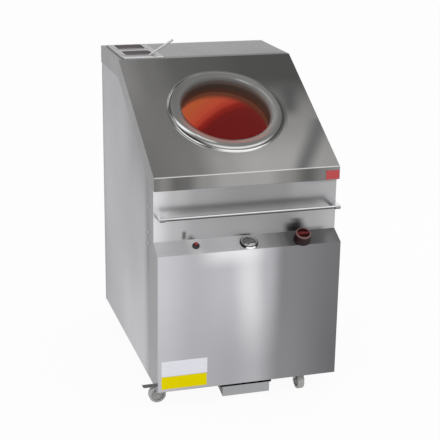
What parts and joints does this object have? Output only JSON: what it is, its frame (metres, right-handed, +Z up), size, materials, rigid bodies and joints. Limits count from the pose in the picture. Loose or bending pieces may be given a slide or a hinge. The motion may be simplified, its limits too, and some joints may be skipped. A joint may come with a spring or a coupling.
{
  "type": "electric tandoor",
  "caption": "Tandoor in a steel cabinet on castors: sloping top with a round mouth over a tilted clay pot, control strip, towel rail, crumb tray and drop-in spice pans.",
  "frame": {"origin": "on the floor under the middle of the object's bounding box", "axes": "+X to the right seen from the front, +Y from the front to the back, +Z up"},
  "size_m": [0.784, 1.0012, 1.2705],
  "materials": {
    "brushed_panel": "brushed",
    "polished_steel": "polished",
    "structural_steel": "satin",
    "heat_dark_steel": "oxidised",
    "fired_clay": "matte fired clay",
    "mineral_wool": "matte fibre",
    "zinc_plated_steel": "zinc plated",
    "grey_tread": "matte",
    "dark_knob_plastic": "gloss",
    "black_plastic": "satin",
    "red_plastic": "gloss",
    "white_steatite": "matte",
    "dial_white": "matte",
    "needle_red": "matte",
    "gauge_glass": "clear"
  },
  "bodies": {
    "cabinet": {"base_pan": "structural_steel", "corner_posts": "structural_steel", "front_cover": "brushed_panel", "hood": "brushed_panel", "side_panel_left": "brushed_panel", "side_panel_right": "brushed_panel", "back_panel": "brushed_panel", "cover_screws": "polished_steel", "mouth_ring": "polished_steel", "neck_sleeve": "heat_dark_steel", "clay_pot": "fired_clay", "insulation_jacket": "mineral_wool", "barrel_shell": "structural_steel", "barrel_lid": "structural_steel", "heating_element_outer": "heat_dark_steel", "heating_element_inner": "heat_dark_steel", "element_terminal_cover": "structural_steel", "cradle_left": "structural_steel", "cradle_right": "structural_steel", "debris_chute": "structural_steel", "tray_runner_left": "structural_steel", "tray_runner_right": "structural_steel", "thermostat_body": "black_plastic", "button_collar": "black_plastic", "button_switch": "black_plastic", "gauge_case": "structural_steel", "gauge_bezel": "polished_steel", "gauge_face": "dial_white", "gauge_glass": "gauge_glass", "towel_rail": "polished_steel", "rail_bracket_left": "brushed_panel", "rail_bracket_right": "brushed_panel", "pan_frame": "polished_steel", "cable_gland": "black_plastic", "bonding_stud": "zinc_plated_steel", "terminal_block": "white_steatite", "castor_plates": "zinc_plated_steel", "castor_bolts": "zinc_plated_steel"},
    "debris_tray": {"debris_tray": "brushed_panel"},
    "thermostat_dial": {"thermostat_knob": "dark_knob_plastic", "thermostat_shaft": "zinc_plated_steel"},
    "push_button": {"push_button": "red_plastic"},
    "gauge_needle": {"gauge_needle": "needle_red"},
    "front_pan": {"front_pan": "polished_steel"},
    "rear_pan": {"rear_pan": "polished_steel"},
    "ladle": {"ladle": "polished_steel"},
    "castor_front_left": {"castor_fork_front_left": "zinc_plated_steel", "castor_axle_front_left": "zinc_plated_steel"},
    "wheel_front_left": {"castor_wheel_front_left": "grey_tread"},
    "pedal_front_left": {"brake_pedal_front_left": "zinc_plated_steel"},
    "castor_front_right": {"castor_fork_front_right": "zinc_plated_steel", "castor_axle_front_right": "zinc_plated_steel"},
    "wheel_front_right": {"castor_wheel_front_right": "grey_tread"},
    "castor_rear_left": {"castor_fork_rear_left": "zinc_plated_steel", "castor_axle_rear_left": "zinc_plated_steel"},
    "wheel_rear_left": {"castor_wheel_rear_left": "grey_tread"},
    "castor_rear_right": {"castor_fork_rear_right": "zinc_plated_steel", "castor_axle_rear_right": "zinc_plated_steel"},
    "wheel_rear_right": {"castor_wheel_rear_right": "grey_tread"},
    "pedal_rear_right": {"brake_pedal_rear_right": "zinc_plated_steel"}
  },
  "joints": [
    {"name": "debris_tray_slide", "type": "slide", "parent": "cabinet", "child": "debris_tray", "axis": [0, -1, 0], "range_m": [0, 0.45]},
    {"name": "thermostat_turn", "type": "hinge", "parent": "cabinet", "child": "thermostat_dial", "pos_m": [0.203, -0.4681, 0.63287], "axis": [0, -0.4415, 0.8973], "range_deg": [-270, 0]},
    {"name": "push_button_press", "type": "slide", "parent": "cabinet", "child": "push_button", "axis": [0, 0.4415, -0.8973], "range_m": [0, 0.004], "stiffness_N_per_m": 300, "springref_m": -0.002},
    {"name": "gauge_needle_turn", "type": "hinge", "parent": "cabinet", "child": "gauge_needle", "pos_m": [0, -0.44853, 0.61575], "axis": [0, -0.4415, 0.8973], "range_deg": [-270, 0], "stiffness_Nm_per_rad": 0.004},
    {"name": "front_pan_lift", "type": "slide", "parent": "cabinet", "child": "front_pan", "axis": [0, 0, 1], "range_m": [0, 0.15]},
    {"name": "rear_pan_lift", "type": "slide", "parent": "cabinet", "child": "rear_pan", "axis": [0, 0, 1], "range_m": [0, 0.15]},
    {"name": "ladle_lift", "type": "slide", "parent": "front_pan", "child": "ladle", "axis": [0, 0, 1], "range_m": [0, 0.12]},
    {"name": "castor_swivel_front_left", "type": "hinge", "parent": "cabinet", "child": "castor_front_left", "pos_m": [-0.308, -0.4054, 0.084], "axis": [0, 0, 1], "continuous": true},
    {"name": "wheel_spin_front_left", "type": "hinge", "parent": "castor_front_left", "child": "wheel_front_left", "pos_m": [-0.336, -0.4054, 0.0325], "axis": [0, 1, 0], "continuous": true},
    {"name": "brake_press_front_left", "type": "hinge", "parent": "castor_front_left", "child": "pedal_front_left", "pos_m": [-0.339, -0.4054, 0.07], "axis": [0, -1, 0], "range_deg": [0, 12]},
    {"name": "castor_swivel_front_right", "type": "hinge", "parent": "cabinet", "child": "castor_front_right", "pos_m": [0.222, -0.4054, 0.084], "axis": [0, 0, 1], "continuous": true},
    {"name": "wheel_spin_front_right", "type": "hinge", "parent": "castor_front_right", "child": "wheel_front_right", "pos_m": [0.222, -0.4334, 0.0325], "axis": [1, 0, 0], "continuous": true},
    {"name": "castor_swivel_rear_left", "type": "hinge", "parent": "cabinet", "child": "castor_rear_left", "pos_m": [-0.222, 0.4226, 0.084], "axis": [0, 0, 1], "continuous": true},
    {"name": "wheel_spin_rear_left", "type": "hinge", "parent": "castor_rear_left", "child": "wheel_rear_left", "pos_m": [-0.222, 0.4506, 0.0325], "axis": [1, 0, 0], "continuous": true},
    {"name": "castor_swivel_rear_right", "type": "hinge", "parent": "cabinet", "child": "castor_rear_right", "pos_m": [0.308, 0.4226, 0.084], "axis": [0, 0, 1], "continuous": true},
    {"name": "wheel_spin_rear_right", "type": "hinge", "parent": "castor_rear_right", "child": "wheel_rear_right", "pos_m": [0.336, 0.4226, 0.0325], "axis": [0, 1, 0], "continuous": true},
    {"name": "brake_press_rear_right", "type": "hinge", "parent": "castor_rear_right", "child": "pedal_rear_right", "pos_m": [0.339, 0.4226, 0.07], "axis": [0, 1, 0], "range_deg": [0, 12]}
  ]
}
